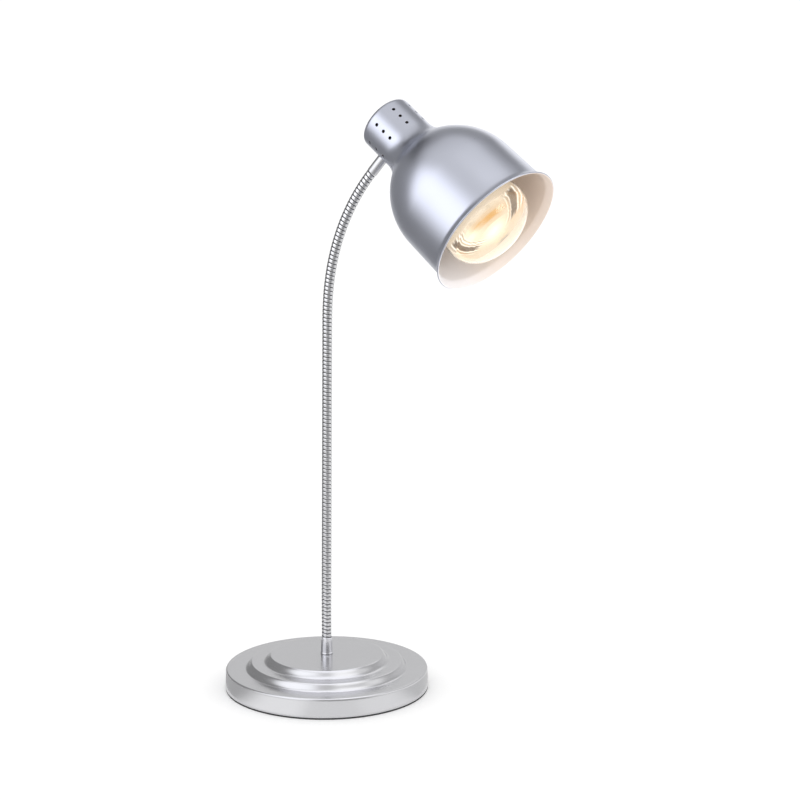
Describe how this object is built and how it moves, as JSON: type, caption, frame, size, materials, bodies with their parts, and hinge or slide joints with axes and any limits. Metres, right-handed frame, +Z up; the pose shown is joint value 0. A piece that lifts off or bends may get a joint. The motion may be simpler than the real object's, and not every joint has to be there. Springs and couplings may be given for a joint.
{
  "type": "heat lamp warmer",
  "caption": "Table-standing food warming lamp: weighted three-tier round base, flexible gooseneck and a spun bell shade holding an infrared reflector bulb.",
  "frame": {"origin": "centre of the underside of the base, where the lamp stands", "axes": "+Z up; +X the way the gooseneck leans; the shade also looks a little towards -Y"},
  "size_m": [0.471, 0.3118, 0.8367],
  "materials": {
    "base_steel": "satin silver finish over pressed steel",
    "shade_silver": "satin silver spun aluminium, white inside",
    "neck_steel": "bright interlocked coil",
    "ferrule_steel": "smooth satin",
    "pad_rubber": "matt black",
    "plate_steel": "zinc plated",
    "weight_iron": "as cast",
    "fastener_steel": "zinc plated",
    "brass": "plain brass",
    "terminal_plastic": "white",
    "grommet_rubber": "black",
    "lead_sheath": "black heat-resistant sheath",
    "holder_ceramic": "unglazed white",
    "bulb_glass": "clear front",
    "bulb_nickel": "nickel plated",
    "stem_glass": "clear",
    "filament": "tungsten, glowing"
  },
  "bodies": {
    "base": {"base_cover": "base_steel", "base_pad": "pad_rubber", "base_plate": "plate_steel", "base_weight": "weight_iron", "plate_screw_1": "fastener_steel", "plate_screw_2": "fastener_steel", "plate_screw_3": "fastener_steel", "earth_screw": "brass", "terminal_block": "terminal_plastic", "cord_grommet": "grommet_rubber", "lower_ferrule": "ferrule_steel", "lower_nipple": "fastener_steel", "lower_washer": "fastener_steel", "lower_nut": "fastener_steel", "neck_root": "neck_steel", "lead_base": "lead_sheath"},
    "link_01": {"neck_link_01": "neck_steel", "lead_01": "lead_sheath"},
    "link_02": {"neck_link_02": "neck_steel", "lead_02": "lead_sheath"},
    "link_03": {"neck_link_03": "neck_steel", "lead_03": "lead_sheath"},
    "link_04": {"neck_link_04": "neck_steel", "lead_04": "lead_sheath"},
    "link_05": {"neck_link_05": "neck_steel", "lead_05": "lead_sheath"},
    "link_06": {"neck_link_06": "neck_steel", "lead_06": "lead_sheath"},
    "link_07": {"neck_link_07": "neck_steel", "lead_07": "lead_sheath"},
    "link_08": {"neck_link_08": "neck_steel", "lead_08": "lead_sheath"},
    "link_09": {"neck_link_09": "neck_steel", "lead_09": "lead_sheath"},
    "link_10": {"neck_link_10": "neck_steel", "lead_10": "lead_sheath"},
    "link_11": {"neck_link_11": "neck_steel", "lead_11": "lead_sheath"},
    "link_12": {"neck_link_12": "neck_steel", "lead_12": "lead_sheath"},
    "head": {"neck_tip": "neck_steel", "upper_ferrule": "ferrule_steel", "upper_nipple": "fastener_steel", "upper_washer": "fastener_steel", "upper_nut": "fastener_steel", "shade": "shade_silver", "holder_bracket": "plate_steel", "lampholder_body": "holder_ceramic", "lampholder_shell": "brass", "lampholder_contact": "brass", "holder_screw_1": "fastener_steel", "holder_screw_2": "fastener_steel", "lead_head": "lead_sheath"},
    "bulb": {"bulb_glass": "bulb_glass", "bulb_cap": "bulb_nickel", "bulb_contact": "bulb_nickel", "bulb_stem": "stem_glass", "bulb_filament": "filament"}
  },
  "joints": [
    {"name": "lower_bend", "type": "hinge", "parent": "base", "child": "link_01", "pos_m": [0.00006, 0, 0.09943], "axis": [0, 1, 0], "range_deg": [-12, 14]},
    {"name": "side_bend", "type": "hinge", "parent": "link_01", "child": "link_02", "pos_m": [0.00052, 0, 0.15168], "axis": [0.9999, 0, -0.0108], "range_deg": [-8, 8]},
    {"name": "lower_bend_2", "type": "hinge", "parent": "link_02", "child": "link_03", "pos_m": [0.00109, 0, 0.20393], "axis": [0, 1, 0], "range_deg": [-12, 14]},
    {"name": "side_bend_2", "type": "hinge", "parent": "link_03", "child": "link_04", "pos_m": [0.00165, 0, 0.25618], "axis": [0.9999, 0, -0.0108], "range_deg": [-8, 8]},
    {"name": "lower_bend_3", "type": "hinge", "parent": "link_04", "child": "link_05", "pos_m": [0.00222, 0, 0.30843], "axis": [0, 1, 0], "range_deg": [-12, 14]},
    {"name": "side_bend_3", "type": "hinge", "parent": "link_05", "child": "link_06", "pos_m": [0.00279, 0, 0.36068], "axis": [0.9999, 0, -0.0108], "range_deg": [-8, 8]},
    {"name": "upper_bend", "type": "hinge", "parent": "link_06", "child": "link_07", "pos_m": [0.00335, 0, 0.41293], "axis": [0, 1, 0], "range_deg": [-14, 18]},
    {"name": "side_bend_4", "type": "hinge", "parent": "link_07", "child": "link_08", "pos_m": [0.00392, 0, 0.46518], "axis": [0.9999, 0, -0.0108], "range_deg": [-8, 8]},
    {"name": "upper_bend_2", "type": "hinge", "parent": "link_08", "child": "link_09", "pos_m": [0.00448, 0, 0.51743], "axis": [0, 1, 0], "range_deg": [-14, 18]},
    {"name": "side_bend_5", "type": "hinge", "parent": "link_09", "child": "link_10", "pos_m": [0.0064, 0, 0.56964], "axis": [0.9962, 0, -0.0874], "range_deg": [-8, 8]},
    {"name": "upper_bend_3", "type": "hinge", "parent": "link_10", "child": "link_11", "pos_m": [0.01452, 0, 0.62121], "axis": [0, 1, 0], "range_deg": [-14, 18]},
    {"name": "side_bend_6", "type": "hinge", "parent": "link_11", "child": "link_12", "pos_m": [0.03047, 0, 0.67091], "axis": [0.9233, 0, -0.3841], "range_deg": [-8, 8]},
    {"name": "upper_bend_4", "type": "hinge", "parent": "link_12", "child": "head", "pos_m": [0.05471, 0, 0.71712], "axis": [0, 1, 0], "range_deg": [-14, 18]},
    {"name": "bulb_unscrew", "type": "hinge", "parent": "head", "child": "bulb", "pos_m": [0.16348, -0.0242, 0.74545], "axis": [0.7401, -0.331, -0.5854], "continuous": true}
  ],
  "couplings": [
    {"joint": "lower_bend_2", "follows": "lower_bend", "ratio": 1},
    {"joint": "side_bend_2", "follows": "side_bend", "ratio": 1},
    {"joint": "lower_bend_3", "follows": "lower_bend", "ratio": 1},
    {"joint": "side_bend_3", "follows": "side_bend", "ratio": 1},
    {"joint": "side_bend_4", "follows": "side_bend", "ratio": 1},
    {"joint": "upper_bend_2", "follows": "upper_bend", "ratio": 1},
    {"joint": "side_bend_5", "follows": "side_bend", "ratio": 1},
    {"joint": "upper_bend_3", "follows": "upper_bend", "ratio": 1},
    {"joint": "side_bend_6", "follows": "side_bend", "ratio": 1},
    {"joint": "upper_bend_4", "follows": "upper_bend", "ratio": 1}
  ]
}
